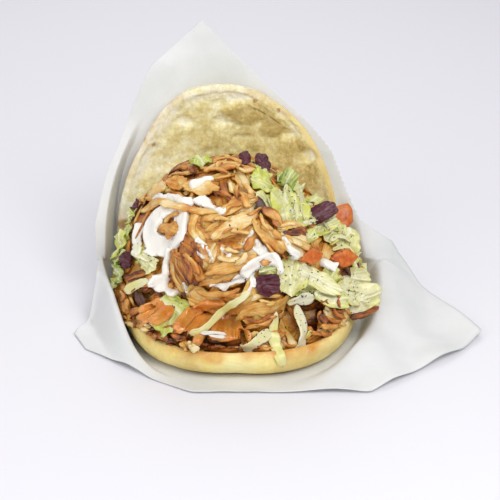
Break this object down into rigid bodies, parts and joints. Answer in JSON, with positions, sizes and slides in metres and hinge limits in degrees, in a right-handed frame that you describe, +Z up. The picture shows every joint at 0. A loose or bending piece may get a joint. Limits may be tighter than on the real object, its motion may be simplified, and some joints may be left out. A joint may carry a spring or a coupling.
{
  "type": "doner kebab",
  "caption": "Doner kebab: a round flatbread opened like a shell and heaped with sliced chicken, lettuce, cabbage, tomato and sauces, lying in its white serving paper.",
  "frame": {"origin": "on the paper's flat underside, below the bread's lower half", "axes": "+Z up, -Y towards the open mouth of the bread, +X to the right as seen from the front"},
  "size_m": [0.2762, 0.2108, 0.1853],
  "materials": {
    "bread": "dry floury crumb and soft pale-golden crust",
    "paper": "thin white greaseproof paper, slightly see-through",
    "chicken": "moist roasted meat with browned edges",
    "white_sauce": "glossy thick yoghurt sauce",
    "orange_sauce": "glossy spiced sauce",
    "lettuce": "moist pale-green leaf",
    "white_cabbage": "moist shredded cabbage and onion",
    "red_cabbage": "moist dark purple leaf",
    "tomato": "moist cut flesh"
  },
  "bodies": {
    "root": {"bread": "bread", "paper": "paper", "chicken_heap": "chicken", "white_sauce_pool": "white_sauce", "white_sauce_drip": "white_sauce", "white_sauce_top": "white_sauce", "white_sauce_streak_1": "white_sauce", "white_sauce_streak_2": "white_sauce", "white_sauce_cup": "white_sauce", "white_sauce_right": "white_sauce", "orange_sauce_left": "orange_sauce", "orange_sauce_middle": "orange_sauce", "orange_sauce_front": "orange_sauce", "lettuce_01": "lettuce", "lettuce_02": "lettuce", "lettuce_03": "lettuce", "lettuce_04": "lettuce", "lettuce_05": "lettuce", "lettuce_06": "lettuce", "lettuce_07": "lettuce", "lettuce_08": "lettuce", "lettuce_09": "lettuce", "lettuce_10": "lettuce", "lettuce_11": "lettuce", "lettuce_12": "lettuce", "lettuce_13": "lettuce", "lettuce_14": "lettuce", "lettuce_15": "lettuce", "red_cabbage_1": "red_cabbage", "red_cabbage_2": "red_cabbage", "red_cabbage_3": "red_cabbage", "red_cabbage_4": "red_cabbage", "red_cabbage_5": "red_cabbage", "red_cabbage_6": "red_cabbage", "red_cabbage_7": "red_cabbage", "tomato_1": "tomato", "tomato_2": "tomato", "tomato_3": "tomato", "cabbage_strip_1": "white_cabbage", "cabbage_strip_2": "white_cabbage", "cabbage_strip_3": "white_cabbage", "cabbage_strip_4": "white_cabbage", "cabbage_strip_5": "white_cabbage", "onion_strip": "white_cabbage", "cabbage_strip_over_lip": "white_cabbage"}
  },
  "joints": []
}
